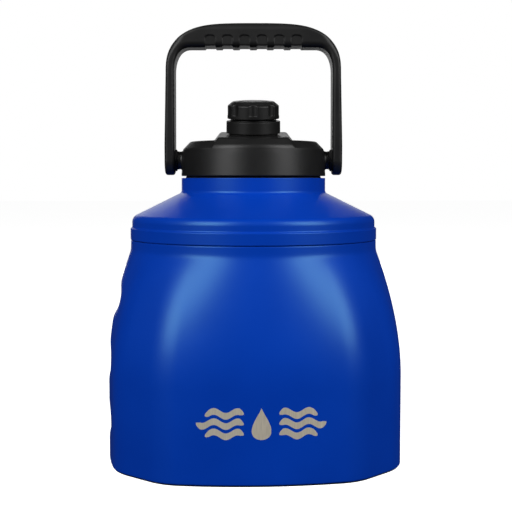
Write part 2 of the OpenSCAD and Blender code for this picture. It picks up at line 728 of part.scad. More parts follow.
module handle() {
    wide = arm_inner + arm_t + 1;
    grip_z = handle_h - grip_t;
    color(BLACK) on_lid() translate([0, 0, pivot_z]) difference() {
        intersection() {
            rotate([90, 0, 0]) linear_extrude(grip_depth + 2, center = true) handle_front();
            rotate([90, 0, 90]) linear_extrude(2 * wide, center = true) handle_side();
        }
        for (side = [-1, 1]) rotate([0, 90 * side, 0]) {
            translate([0, 0, arm_inner - 1]) cylinder(r = bush_r + 0.02, h = arm_t + 2, $fn = 48);
            translate([0, 0, arm_inner + arm_t - pocket_d]) cylinder(r = head_r + 0.4, h = pocket_d + 1, $fn = 48);
        }
        for (i = [0:notch_count - 1]) for (side = [-1, 1])
            translate([(i - (notch_count - 1) / 2) * notch_pitch - notch_w / 2,
                side * (grip_depth / 2 - notch_depth / 2 + 1) - notch_depth / 2 - 1, grip_z - 1])
            cube([notch_w, notch_depth + 2, notch_h + 1]);
        for (i = [0:notch_count - 1])
            translate([(i - (notch_count - 1) / 2) * notch_pitch - notch_w / 2, -grip_depth / 2 - 1, grip_z - 1])
            cube([notch_w, grip_depth + 2, groove_depth + 1]);
    }
}

module pivot_bushes() {
    color(STEEL) on_pivots() tube(screw_r + run_clear, bush_r, arm_inner, arm_inner + arm_t - pocket_d);
}

module pivot_washers() {
    color(SILICONE) on_pivots() tube(screw_r + run_clear, friction_r, arm_inner - friction_t, arm_inner);
}

module pivot_screws() {
    seat = arm_inner + arm_t - pocket_d + 0.1;
    color(STEEL) on_pivots() revolve([[0, skirt_top_r - 4.6], [screw_r, skirt_top_r - 4.6], [screw_r, seat],
        [head_r, seat], [head_r, seat + head_t - 0.4], [head_r - 0.4, seat + head_t], [0, seat + head_t]]);
}

module pivot_caps() {
    out = arm_inner + arm_t;
    color(BLACK) on_pivots() translate([0, 0, out - pivot_cap_t])
        cylinder(r = head_r + 0.35, h = pivot_cap_t, $fn = 48);
}

outer_shell();
shoulder_shell();
inner_vessel();
shell_bottom();
vacuum_plug();
getter();
base_pad();
lid_gasket();
lid_cover();
lid_plug();
lid_foam();
spout();
spout_washer();
spout_collar();
cap_seal();
cap_shell();
cap_liner();
handle();
pivot_bushes();
pivot_washers();
pivot_screws();
pivot_caps();
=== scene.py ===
"""Looks of the insulated water jug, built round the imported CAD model.

Shapes are worked out in millimetres in the CAD's own frame, and become metres in make_piece().
"""
import json
import math

import bpy
import numpy as np
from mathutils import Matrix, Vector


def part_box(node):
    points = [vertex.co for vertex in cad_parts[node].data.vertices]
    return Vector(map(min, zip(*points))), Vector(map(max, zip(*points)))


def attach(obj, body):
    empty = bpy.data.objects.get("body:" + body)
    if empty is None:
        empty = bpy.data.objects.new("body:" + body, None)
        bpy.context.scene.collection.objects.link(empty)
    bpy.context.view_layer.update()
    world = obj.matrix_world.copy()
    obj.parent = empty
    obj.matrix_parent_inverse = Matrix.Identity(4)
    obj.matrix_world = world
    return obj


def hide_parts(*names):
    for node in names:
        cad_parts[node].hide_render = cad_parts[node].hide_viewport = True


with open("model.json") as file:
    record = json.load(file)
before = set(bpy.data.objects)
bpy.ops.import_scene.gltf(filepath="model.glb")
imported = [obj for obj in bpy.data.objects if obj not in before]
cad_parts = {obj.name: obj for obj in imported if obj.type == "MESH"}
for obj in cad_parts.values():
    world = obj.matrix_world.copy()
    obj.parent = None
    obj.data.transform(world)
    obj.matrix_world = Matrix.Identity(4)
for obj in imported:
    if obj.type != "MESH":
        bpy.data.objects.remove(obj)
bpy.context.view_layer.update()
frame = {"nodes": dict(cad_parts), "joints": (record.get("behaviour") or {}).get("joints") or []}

MM = 0.001
NODES = frame["nodes"]
JOINTS = {joint["name"]: joint for joint in frame["joints"]}


def low(node):
    return np.array(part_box(node)[0]) / MM


def high(node):
    return np.array(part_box(node)[1]) / MM


# ---- places, from the frame ----

fold_axis = JOINTS["handle_fold"]["axis"]
LID_ANGLE = math.degrees(math.atan2(fold_axis[1], fold_axis[0]))
PIVOT_Z = JOINTS["handle_fold"]["pos_m"][2] / MM
PLATFORM_Z = JOINTS["cap_turn"]["pos_m"][2] / MM
COLLAR_TOP_Z = high("outer_shell")[2]
NECK_TOP_Z = high("shoulder_shell")[2]
SKIRT_Z = low("lid_cover")[2]
HANDLE_TOP_Z = high("handle")[2]
PAD_TOP_Z = high("base_pad")[2]

# ---- sizes, in millimetres, as in the CAD source ----

# Body
BODY_R = high("outer_shell")[0]
SIDE_DIST = 93
CORNER_CUT = 30
EDGE_SOFT = 6
FULL_WIDTH_Z = 60
COLLAR_R = 85.2
COLLAR_Z = COLLAR_TOP_Z - 6.9
CREASE_SOFT = 1.6           # height over which the flare blends into the collar
WALL = 0.8
FOOT_ROUND = 1.2
FOOT_FLANGE = 6
PAD_INSET = 1.2
PAD_HOLE_R = 16
DENT_DEPTH = 3.6
DENT_H = 28
DENT_HALF_ANGLE = 28
DENT_Z = 28
DENT_PITCH = 40

# Shoulder
SEAM_Z = COLLAR_TOP_Z + 0.5
BAND_R = COLLAR_R + 0.3
BAND_TOP_Z = SEAM_Z + 7.7
BAND_STEP = 1.2
SHOULDER_R = BAND_R - BAND_STEP
SHOULDER_ROUND = 9.5
SHOULDER_SLOPE = math.radians(26.2)
CORNER_Z = BAND_TOP_Z + 1.8
NECK_R = 50
NECK_FILLET = 2.5

# Lid
SKIRT_R = NECK_R + 0.15
SKIRT_TOP_R = SKIRT_R - 1.25
SKIRT_TOP_Z = SKIRT_Z + 18.4
BEVEL_H = 5.3
PLATFORM_EDGE_UP = 1.3      # how far the platform carries the skirt up in front
BEVEL_R = SKIRT_TOP_R - 5.1
LID_TOP_Z = SKIRT_TOP_Z + BEVEL_H + 0.3
COVER_WALL = 2.5
PLATFORM_FOOT = 3           # how far the platform goes down behind the skirt

# Spout, in its own frame, with the platform at height 0
SPOUT_OFFSET = 20
SPOUT_TILT = math.radians(7)
SPOUT_R = 12
WASHER_T = 1.3
WASHER_R = SPOUT_R + 4.6
RING_R = SPOUT_R + 6.3
RING_TOP = WASHER_T + 8.2
PLATFORM_FRONT = SKIRT_TOP_R - 4.9
PLATFORM_REAR = 4
PLATFORM_HALF_W = 23.4
PLATFORM_YAW = math.radians(4.7)
PLATFORM_SIDE = (0.8, 0.6)  # outward and upward share of the side faces' normals

# Cap
CAP_LOW = RING_TOP + 1.5
CAP_R = SPOUT_R + 5.5
CAP_BORE_R = CAP_R - 2.2
CAP_ROOF_T = 1.3
CAP_DISC_H = 0.3
CAP_BEVEL_LOW = CAP_LOW + 8.7
CAP_TOP = CAP_BEVEL_LOW + 2.9
CAP_BEVEL_W = 3.7
CAP_LAND_W = 3.3
FLUTES = 8
FLUTE_R = 4
FLUTE_DEPTH = 1.4
FLUTE_LOW = CAP_LOW + 2.2

# Handle
ARM_INNER = SKIRT_R + 4.15
ARM_OUTER = ARM_INNER + 7
ARM_TAPER = 1.2
ARM_END_R = 10.2
GRIP_DEPTH = 25
GRIP_T = 17.4
GRIP_ROUND = 6
CORNER_H = 36
INNER_CORNER_W = 11
INNER_CORNER_H = 17
NOTCHES = 6
NOTCH_PITCH = 11.8
NOTCH_W = 7
NOTCH_H = 8
NOTCH_DEPTH = 0.8
HUB_R = 6.5
FRICTION_T = 2
HUB_END = ARM_INNER - FRICTION_T
WAIST_X = HUB_END - 1.6
WAIST_DEPTH = 0.25
WAIST_W = 1.1
FRICTION_R = 7.5
POCKET_R = 5.8
POCKET_DEPTH = 2.7
SCREW_BORE_R = 3.17
BUSH_R = 4.6


# ---- curves and fields ----

def rounded(corners, steps=6):
    """Closed outline through (x, y, radius) corners, each rounded by an arc that touches both sides."""
    path = []
    for k, (x, y, radius) in enumerate(corners):
        corner = np.array((x, y), float)
        to_last = np.array(corners[k - 1][:2]) - corner
        to_next = np.array(corners[(k + 1) % len(corners)][:2]) - corner
        last_len = np.linalg.norm(to_last)
        next_len = np.linalg.norm(to_next)
        to_last /= last_len
        to_next /= next_len
        if radius == 0:
            path.append(corner)
            continue
        half = math.acos(max(-1, min(1, to_last @ to_next))) / 2
        reach = min(radius / math.tan(half), 0.49 * min(last_len, next_len))
        radius = reach * math.tan(half)
        middle = corner + (to_last + to_next) * radius / math.sin(half) / np.linalg.norm(to_last + to_next)
        start = corner + to_last * reach - middle
        end = corner + to_next * reach - middle
        first = math.atan2(start[1], start[0])
        turn = (math.atan2(end[1], end[0]) - first + math.pi) % (2 * math.pi) - math.pi
        for i in range(steps + 1):
            angle = first + turn * i / steps
            path.append(middle + radius * np.array((math.cos(angle), math.sin(angle))))
    return np.array(path)


def super_arc(width, height, power, steps):
    """Quarter of a rounded rectangle's curve, from the side (width, 0) to the top (0, height)."""
    angle = np.linspace(0, math.pi / 2, steps + 1)
    x = width * np.clip(np.cos(angle), 0, 1) ** (2 / power)
    return np.stack([x, height * np.sin(angle) ** (2 / power)], 1)


def outline_field(points):
    """Signed distance to a closed outline as a function of (u, v), negative inside."""
    starts = np.array(points, float)
    ends = np.roll(starts, -1, axis=0)

    def distance(u, v):
        best = np.full(u.shape, 1e12)
        inside = np.zeros(u.shape, bool)
        for (su, sv), (eu, ev) in zip(starts, ends):
            du, dv = eu - su, ev - sv
            length = du * du + dv * dv
            if length < 1e-12:
                continue
            wu, wv = u - su, v - sv
            along = np.clip((wu * du + wv * dv) / length, 0, 1)
            best = np.minimum(best, (wu - along * du) ** 2 + (wv - along * dv) ** 2)
            if dv != 0:
                inside ^= ((sv <= v) != (ev <= v)) & (wu < wv * du / dv)
        return np.where(inside, -1, 1) * np.sqrt(best)

    return distance


def both(a, b, radius):
    """Field of what lies in both shapes, with the edge between them rounded."""
    return np.minimum(np.maximum(a, b), -radius) + np.hypot(
        np.maximum(a + radius, 0), np.maximum(b + radius, 0))


def either(a, b, radius):
    """Field of what lies in either shape, with a hollow fillet between them."""
    return -both(-a, -b, radius)


def less(a, b, radius):
    """Field of shape a without shape b, with the rim rounded."""
    return both(a, -b, radius)


def to_spout(p):
    """Points of the lid's frame in the spout's own frame."""
    y = p[:, 1] + SPOUT_OFFSET
    z = p[:, 2] - PLATFORM_Z
    c, s = math.cos(SPOUT_TILT), math.sin(SPOUT_TILT)
    return np.stack([p[:, 0], y * c + z * s, z * c - y * s], 1)


def from_spout(p):
    """Points of the spout's own frame in the lid's frame."""
    c, s = math.cos(SPOUT_TILT), math.sin(SPOUT_TILT)
    y = p[:, 1] * c - p[:, 2] * s - SPOUT_OFFSET
    return np.stack([p[:, 0], y, p[:, 1] * s + p[:, 2] * c + PLATFORM_Z], 1)


def turn_lid(p):
    """Points of the lid's frame in the CAD frame: the closed lid stands turned on the neck."""
    c, s = math.cos(math.radians(LID_ANGLE)), math.sin(math.radians(LID_ANGLE))
    return np.stack([p[:, 0] * c - p[:, 1] * s, p[:, 0] * s + p[:, 1] * c, p[:, 2]], 1)


# ---- meshes ----

BLOCK = 6                   # grid nodes along each side of a block that is sampled together
CHUNK = 1500                # blocks that are sampled at once


def sample(field, origin, counts, cell):
    """Values of a distance field on a grid. Blocks far from its surface hold only the sign."""
    blocks = [-(-n // BLOCK) for n in counts]
    values = np.empty([n * BLOCK for n in blocks])
    by_block = values.reshape(blocks[0], BLOCK, blocks[1], BLOCK, blocks[2], BLOCK)
    by_block = by_block.transpose(0, 2, 4, 1, 3, 5)
    places = np.argwhere(np.ones(blocks, bool))
    rough = field(origin + (places + 0.5) * BLOCK * cell)
    by_block[...] = np.sign(rough).reshape(blocks)[..., None, None, None]
    near = places[np.abs(rough) < BLOCK * cell]
    offsets = np.argwhere(np.ones([BLOCK] * 3, bool))
    for i in range(0, len(near), CHUNK):
        part = near[i:i + CHUNK]
        points = origin + (part[:, None] * BLOCK + offsets) * cell
        found = field(points.reshape(-1, 3)).reshape(-1, BLOCK, BLOCK, BLOCK)
        by_block[part[:, 0], part[:, 1], part[:, 2]] = found
    return values


def slope(field, points, step=0.02):
    """Gradient of a field at some points."""
    parts = []
    for k in range(3):
        shift = np.zeros(3)
        shift[k] = step
        parts.append((field(points + shift) - field(points - shift)) / (2 * step))
    return np.stack(parts, 1)


def field_mesh(field, lowest, highest, cell):
    """Points, quads and normals of the closed surface on which a distance field is 0."""
    origin = np.array(lowest, float) - 2.37 * cell
    counts = np.ceil((np.array(highest) + 2 * cell - origin) / cell).astype(int) + 1
    values = sample(field, origin, counts, cell)
    inside = values < 0
    nx, ny, nz = (n - 1 for n in inside.shape)
    count = sum(
        inside[i:nx + i, j:ny + j, k:nz + k].astype(np.int8)
        for i in (0, 1) for j in (0, 1) for k in (0, 1))
    mixed = (count > 0) & (count < 8)
    index = np.full(mixed.shape, -1)
    cells = np.argwhere(mixed)
    index[mixed] = np.arange(len(cells))

    total = np.zeros((len(cells), 3))
    crossings = np.zeros(len(cells))
    for axis in range(3):
        along = np.eye(3, dtype=int)[axis]
        for i in (0, 1):
            for j in (0, 1):
                start = i * np.eye(3, dtype=int)[axis - 1] + j * np.eye(3, dtype=int)[axis - 2]
                a = values[tuple((cells + start).T)]
                b = values[tuple((cells + start + along).T)]
                crossed = (a < 0) != (b < 0)
                share = np.where(crossed, a / np.where(crossed, a - b, 1), 0)
                total += crossed[:, None] * (start + along * share[:, None])
                crossings += crossed
    points = origin + (cells + total / crossings[:, None]) * cell

    quads = []
    for axis in range(3):
        along = np.eye(3, dtype=int)[axis]
        u = np.eye(3, dtype=int)[(axis + 1) % 3]
        v = np.eye(3, dtype=int)[(axis + 2) % 3]
        head = tuple(slice(0, n - d) for n, d in zip(inside.shape, along))
        tail = tuple(slice(d, n) for n, d in zip(inside.shape, along))
        edges = np.argwhere(inside[head] != inside[tail])
        quad = np.stack([index[tuple((edges - d).T)] for d in (0 * u, u, u + v, v)], 1)
        outward = inside[tuple(edges.T)]
        quads.append(np.where(outward[:, None], quad, quad[:, ::-1]))

    # Pull the points on to the surface itself
    for _ in range(3):
        grade = slope(field, points)
        step = field(points) / np.maximum((grade ** 2).sum(1), 0.25)
        points -= np.clip(step, -cell / 2, cell / 2)[:, None] * grade
    grade = slope(field, points)
    return points, np.concatenate(quads), grade / np.linalg.norm(grade, axis=1)[:, None]


def grid_faces(rows, columns):
    """Quads of a grid whose rows and columns both close on themselves."""
    i, j = np.meshgrid(np.arange(rows), np.arange(columns), indexing="ij")
    k, m = (i + 1) % rows, (j + 1) % columns
    quads = np.stack([i * columns + j, i * columns + m, k * columns + m, k * columns + j], -1)
    return quads.reshape(-1, 4)


def profile_normals(path):
    """Normals of a closed counter-clockwise outline at its points; long sides count for more."""
    ahead = np.roll(path, -1, axis=0) - path
    behind = path - np.roll(path, 1, axis=0)
    along = ahead * np.linalg.norm(ahead, axis=1)[:, None] + behind * np.linalg.norm(behind, axis=1)[:, None]
    normals = np.stack([along[:, 1], -along[:, 0]], 1)
    return normals / np.maximum(np.linalg.norm(normals, axis=1), 1e-9)[:, None]


def turned_mesh(path, steps=256):
    """Points, quads and normals of a closed (radius, height) outline turned round the axis."""
    x, y = path[:, 0], path[:, 1]
    if (x * np.roll(y, -1) - y * np.roll(x, -1)).sum() < 0:
        path = path[::-1]
    angle = 2 * math.pi * np.arange(steps) / steps
    circle = np.stack([np.cos(angle), np.sin(angle)], 1)
    around = np.repeat(circle[None], len(path), 0)

    def spin(profile):
        flat = around * profile[:, None, :1]
        rise = np.repeat(profile[:, None, 1:], steps, 1)
        return np.concatenate([flat, rise], 2).reshape(-1, 3)

    return spin(path), grid_faces(len(path), steps), spin(profile_normals(path))


def ring_mesh(angle, rings):
    """Mesh data of closed rings, each with its radius at the angles and its height."""
    circle = np.stack([np.cos(np.radians(angle)), np.sin(np.radians(angle))], 1)
    points = []
    for radius, z in rings:
        radius = np.broadcast_to(radius, angle.shape)
        points.append(np.column_stack([circle * radius[:, None], np.full(len(angle), float(z))]))
    return np.concatenate(points), grid_faces(len(rings), len(angle)), None


def make_piece(name, mesh_data, material, body, replaces=()):
    """A Blender piece from points in millimetres, quads and normals."""
    points, faces, normals = mesh_data
    mesh = bpy.data.meshes.new(name)
    mesh.from_pydata((points * MM).tolist(), [], faces.tolist())
    mesh.polygons.foreach_set("use_smooth", [True] * len(mesh.polygons))
    mesh.update()
    if normals is not None:
        mesh.normals_split_custom_set_from_vertices(normals.tolist())
    mesh.materials.append(material)
    piece = bpy.data.objects.new(name, mesh)
    bpy.context.scene.collection.objects.link(piece)
    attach(piece, body)
    if replaces:
        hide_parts(*replaces)
    return piece


def placed(mesh_data, *moves):
    """Mesh data with its points, and its normals, put through some rigid moves."""
    points, faces, normals = mesh_data
    tips = points + normals
    for move in moves:
        points, tips = move(points), move(tips)
    return points, faces, tips - points


def cell_size(fine):
    return fine


# ---- materials ----

class Nodes:
    """Short names for the nodes of one material."""

    def __init__(self, name, **constants):
        self.material = bpy.data.materials.new(name)
        self.material.use_nodes = True
        self.tree = self.material.node_tree
        self.shader = self.tree.nodes["Principled BSDF"]
        for socket, value in constants.items():
            self.shader.inputs[socket.replace("_", " ")].default_value = value
        self.place = self.tree.nodes.new("ShaderNodeTexCoord").outputs["Object"]

    def add(self, kind, inputs=(), **settings):
        node = self.tree.nodes.new("ShaderNode" + kind)
        for key, value in settings.items():
            setattr(node, key, value)
        for key, value in dict(inputs).items():
            if isinstance(value, bpy.types.NodeSocket):
                self.tree.links.new(value, node.inputs[key])
            else:
                node.inputs[key].default_value = value
        return node

    def stretched(self, scale):
        """Object coordinates scaled unevenly."""
        return self.add("Mapping", {"Vector": self.place, "Scale": scale}).outputs["Vector"]

    def noise(self, scale, detail=2.0, vector=None):
        """Value noise from 0 to 1; the scale is in features per metre."""
        settings = {"Vector": vector or self.place, "Scale": scale, "Detail": detail}
        return self.add("TexNoise", settings).outputs["Fac"]

    def spread(self, value, low_out, high_out, low_in=0.3, high_in=0.7):
        """Values from low_in to high_in brought to the range from low_out to high_out."""
        inputs = {
            "Value": value, "From Min": low_in, "From Max": high_in, "To Min": low_out, "To Max": high_out}
        return self.add("MapRange", inputs).outputs["Result"]

    def mixed(self, share, first, second):
        inputs = {0: share, 6: first, 7: second}
        return self.add("Mix", inputs, data_type="RGBA").outputs[2]

    def sum(self, a, b):
        return self.add("Math", {0: a, 1: b}, operation="ADD").outputs[0]

    def relief(self, height, depth):
        """Bump of a given depth in metres."""
        bump = self.add("Bump", {"Height": height, "Strength": 1.0, "Distance": depth})
        self.tree.links.new(bump.outputs["Normal"], self.shader.inputs["Normal"])

    def set(self, socket, value):
        self.tree.links.new(value, self.shader.inputs[socket])


def powder_coat():
    """Royal blue powder coat: a fine orange peel, slightly uneven gloss and faint cloudiness."""
    m = Nodes("blue_powder_coat", Specular_IOR_Level=0.5, Specular_Tint=(0.35, 0.9, 1, 1))
    cloud = m.noise(18, 3)
    grain = m.noise(2600, 2)
    deep, pale = (0.0001, 0.040, 0.42, 1), (0.0002, 0.046, 0.47, 1)
    m.set("Base Color", m.mixed(m.spread(cloud, 0, 1), deep, pale))
    m.set("Roughness", m.sum(m.spread(cloud, 0.31, 0.34), m.spread(grain, 0, 0.05)))
    m.relief(m.sum(m.noise(900, 1), m.spread(grain, 0, 0.4)), 0.000012)
    return m.material


def moulded_plastic(name, tone, gloss, grain_depth, shine=0.42):
    """Black moulded plastic with a fine spark-eroded grain and paler, rubbed edges."""
    m = Nodes(name, Specular_IOR_Level=shine)
    cloud = m.noise(60, 3)
    grain = m.noise(3200, 3)
    edge = m.spread(m.add("NewGeometry").outputs["Pointiness"], 0, 1, 0.53, 0.60)
    body = m.mixed(m.spread(cloud, 0, 1), (tone, tone, tone * 1.02, 1), (tone * 1.35,) * 3 + (1,))
    rubbed = m.add("Math", {0: edge, 1: 0.35}, operation="MULTIPLY").outputs[0]
    m.set("Base Color", m.mixed(rubbed, body, (tone * 3,) * 3 + (1,)))
    m.set("Roughness", m.sum(m.spread(cloud, gloss - 0.02, gloss + 0.02), m.spread(grain, 0, 0.06)))
    m.relief(grain, grain_depth)
    return m.material


def rubber(name, tone):
    """Matt silicone with a dusty unevenness."""
    m = Nodes(name, Specular_IOR_Level=0.35)
    dust = m.noise(140, 4)
    m.set("Base Color", m.mixed(m.spread(dust, 0, 1), (tone, tone, tone, 1), (tone * 1.8,) * 3 + (1,)))
    m.set("Roughness", m.spread(dust, 0.68, 0.82))
    m.relief(m.noise(2400, 2), 0.00002)
    return m.material


def brushed_steel(name, colour, scale, gloss, metallic=1.0):
    """Stainless steel with fine brush lines; scale stretches them along one direction."""
    m = Nodes(name, Metallic=metallic)
    lines = m.noise(1.0, 4, m.stretched(scale))
    cloud = m.noise(40, 3)
    dark = tuple(c * 0.82 for c in colour) + (1,)
    m.set("Base Color", m.mixed(m.spread(lines, 0, 1), dark, tuple(colour) + (1,)))
    m.set("Roughness", m.sum(m.spread(lines, gloss, gloss + 0.14), m.spread(cloud, 0, 0.05)))
    m.relief(lines, 0.000008)
    return m.material


def foam():
    """Cut closed-cell foam, with open cells at its skin."""
    m = Nodes("closed_cell_foam", Specular_IOR_Level=0.2)
    cells = m.add("TexVoronoi", {"Vector": m.place, "Scale": 1400}).outputs["Distance"]
    m.set("Base Color", m.mixed(m.spread(cells, 0, 1, 0, 0.6), (0.50, 0.46, 0.36, 1), (0.78, 0.75, 0.66, 1)))
    m.set("Roughness", m.spread(cells, 0.95, 0.8, 0, 0.6))
    m.relief(cells, 0.0002)
    return m.material


BLUE = powder_coat()
LID_BLACK = moulded_plastic("black_moulded_lid", 0.0062, 0.40, 0.000014)
HANDLE_BLACK = moulded_plastic("black_moulded_handle", 0.0085, 0.43, 0.000018, 0.32)
CAP_BLACK = moulded_plastic("black_moulded_cap", 0.0065, 0.38, 0.000012)
INNER_BLACK = moulded_plastic("black_moulded_inside", 0.013, 0.48, 0.00001)
SILICONE = rubber("black_silicone", 0.010)
PAD_RUBBER = rubber("black_base_rubber", 0.012)
LINER_STEEL = brushed_steel("drawn_steel_liner", (0.62, 0.61, 0.59), (60, 60, 2600), 0.26)
FIXING_STEEL = brushed_steel("turned_steel_fixings", (0.58, 0.58, 0.57), (2600, 300, 300), 0.22)
ETCHED_STEEL = brushed_steel("etched_steel", (0.80, 0.73, 0.60), (3000, 300, 120), 0.38, 0.45)
FOAM = foam()


# ---- vessel ----

def off_side(angle, sides):
    """Angle in degrees to the middle of the nearest side."""
    return np.abs((angle + 180 / sides + 360) % (360 / sides) - 180 / sides)


def full_radius(angle):
    """Radius of the soft eight-sided outline at its full width."""
    phi = np.radians(off_side(angle, 4))
    half = SIDE_DIST - CORNER_CUT
    bulge = BODY_R - SIDE_DIST
    arc_r = (half ** 2 + bulge ** 2) / (2 * bulge)
    back = arc_r - BODY_R
    side = np.sqrt(arc_r ** 2 - (back * np.sin(phi)) ** 2) - back * np.cos(phi)
    corner = (SIDE_DIST + half) / math.sqrt(2) / np.cos(math.pi / 4 - phi)
    overlap = np.maximum(EDGE_SOFT - np.abs(side - corner), 0)
    return np.minimum(side, corner) - overlap ** 2 / (4 * EDGE_SOFT)


def flare(z):
    """Share of the flare that is reached at height z, with a soft start under the collar."""
    span = COLLAR_Z - FULL_WIDTH_Z
    t = (COLLAR_Z - z) / span
    soft = CREASE_SOFT / span
    t = np.minimum((t + np.sqrt(t ** 2 + soft ** 2)) / 2, 1)
    return t * (2 - t)


def dent(angle, z):
    """Depth of the finger dents on the left side."""
    off = np.abs((angle + 360) % 360 - 180)
    across = np.where(off < DENT_HALF_ANGLE, np.cos(np.radians(90 * off / DENT_HALF_ANGLE)) ** 2, 0)
    nearest = np.clip(np.round((z - DENT_Z) / DENT_PITCH), 0, 2)
    up = np.abs(z - DENT_Z - nearest * DENT_PITCH)
    return DENT_DEPTH * across * np.where(up < DENT_H / 2, np.cos(np.radians(180 * up / DENT_H)) ** 2, 0)


def body_radius(angle, z):
    return COLLAR_R + (full_radius(angle) - COLLAR_R) * flare(z) - dent(angle, z)


def wall_levels(count):
    """Heights up the side, closer together round the collar's crease."""
    foot_z = PAD_TOP_Z + FOOT_ROUND
    side = np.linspace(foot_z, COLLAR_Z - 6, count)
    crease = np.linspace(COLLAR_Z - 6, COLLAR_Z + 5, 23)[1:]
    return np.concatenate([side, crease[:-1], [COLLAR_TOP_Z - 0.8, COLLAR_TOP_Z - 0.3]])


def body_shell():
    steps = 400
    angle = 360 * np.arange(steps) / steps
    full = full_radius(angle)
    rings = [(full - FOOT_ROUND - FOOT_FLANGE, PAD_TOP_Z)]
    for i in range(9):
        a = math.radians(90 * i / 8)
        rings.append((full - FOOT_ROUND * (1 - math.sin(a)), PAD_TOP_Z + FOOT_ROUND * (1 - math.cos(a))))
    rings += [(body_radius(angle, z), z) for z in wall_levels(100)[1:]]
    rings.append((COLLAR_R - 0.1, COLLAR_TOP_Z - 0.06))
    rings.append((COLLAR_R - 0.3, COLLAR_TOP_Z))
    rings.append((COLLAR_R - WALL, COLLAR_TOP_Z))
    rings += [(body_radius(angle, z) - WALL, z) for z in wall_levels(60)[::-1][1:]]
    rings.append((full - FOOT_ROUND, PAD_TOP_Z + WALL))
    rings.append((full - FOOT_ROUND - FOOT_FLANGE, PAD_TOP_Z + WALL))
    make_piece("body_shell", ring_mesh(angle, rings), BLUE, "vessel", ["outer_shell"])


def cone_at(radius, depth=0.0):
    """Height of the shoulder's cone at a radius, moved inwards by depth."""
    return (CORNER_Z + (SHOULDER_R - SHOULDER_ROUND - radius) * math.tan(SHOULDER_SLOPE)
            + (SHOULDER_ROUND - depth) / math.cos(SHOULDER_SLOPE))


def shoulder():
    lap_r = COLLAR_R - WALL - 0.1
    lap_z = low("shoulder_shell")[2]
    ledge_z = NECK_TOP_Z - 0.4 - WALL
    ledge_r = NECK_R - 3.8
    inner_r = SHOULDER_R - WALL
    path = rounded([
        (lap_r, lap_z, 0), (lap_r, SEAM_Z, 0), (BAND_R, SEAM_Z, 0.4), (BAND_R, BAND_TOP_Z, 0.7),
        (SHOULDER_R, BAND_TOP_Z + 0.8, 1.0), (SHOULDER_R, cone_at(SHOULDER_R), SHOULDER_ROUND),
        (NECK_R, cone_at(NECK_R), NECK_FILLET), (NECK_R, NECK_TOP_Z, 0.4), (NECK_R - WALL, NECK_TOP_Z, 0.1),
        (NECK_R - WALL, ledge_z, 0), (ledge_r, ledge_z, 0), (ledge_r, ledge_z - WALL, 0),
        (NECK_R - WALL, ledge_z - WALL, 0), (NECK_R - WALL, cone_at(NECK_R - WALL, WALL), NECK_FILLET + WALL),
        (inner_r, cone_at(inner_r, WALL), SHOULDER_ROUND - WALL), (inner_r, BAND_TOP_Z + 0.8, 0),
        (BAND_R - WALL, BAND_TOP_Z, 0), (BAND_R - WALL, SEAM_Z + WALL, 0), (lap_r - WALL, SEAM_Z + WALL, 0),
        (lap_r - WALL, lap_z, 0),
    ], 12)
    make_piece("shoulder", turned_mesh(path, 360), BLUE, "vessel", ["shoulder_shell"])


def base_rubber():
    """The rubber pad: the body's outline drawn in, with a rounded edge and a round hole."""
    steps = 400
    angle = 360 * np.arange(steps) / steps
    edge = full_radius(angle) - PAD_INSET
    rings = [(PAD_HOLE_R, 0), (edge - 0.3, 0), (edge - 0.08, 0.12), (edge, 0.35), (edge, PAD_TOP_Z),
             (PAD_HOLE_R, PAD_TOP_Z)]
    make_piece("base_rubber", ring_mesh(angle, rings), PAD_RUBBER, "vessel", ["base_pad"])


# ---- etched motif: a drop between waves ----

MOTIF_Z = 40
PLATE_UP = 0.025            # how far the bare metal stands over the coat
PLATE_DOWN = 0.25           # and how deep it reaches under it
DROP_H = 20
DROP_W = 15
WAVE_START = 11             # distance of the waves' inner ends from the motif's middle
WAVE_ENDS = {-1: 35, 0: 40.5, 1: 35}
WAVE_PITCH = 6.4
WAVE_LENGTH = 14.75
WAVE_SWING = 1.5
WAVE_HALF_W = 2.1
WAVE_TAPER = 2.5


def on_front(u, v, lift):
    """Points on the front of the body, u to the right and v up, lifted off the surface."""
    z = MOTIF_Z + v
    radius = np.full(np.shape(u), BODY_R)
    for _ in range(6):
        angle = -90 + np.degrees(np.arcsin(u / radius))
        radius = body_radius(angle, z)
    angle = np.radians(angle)
    return np.stack([(radius + lift) * np.cos(angle), (radius + lift) * np.sin(angle), z], -1)


def strip(middle, half_width, start, end, steps=72):
    """A thin inlaid stripe along u, whose middle and half width are functions of u."""
    u = np.linspace(start, end, steps)
    rows = []
    on_top = [(side, PLATE_UP) for side in (1, 0.5, 0, -0.5, -1)]
    for side, lift in [(-1, -PLATE_DOWN), (1, -PLATE_DOWN), *on_top]:
        rows.append(on_front(u, middle(u) + side * half_width(u), lift))
    points = np.concatenate(rows)
    quads = []
    for i in range(len(rows)):
        k = (i + 1) % len(rows)
        for j in range(steps - 1):
            quads.append((i * steps + j, k * steps + j, k * steps + j + 1, i * steps + j + 1))
    first = tuple(i * steps for i in range(len(rows)))
    last = tuple(i + steps - 1 for i in first)
    return points, quads + [first[::-1], last]


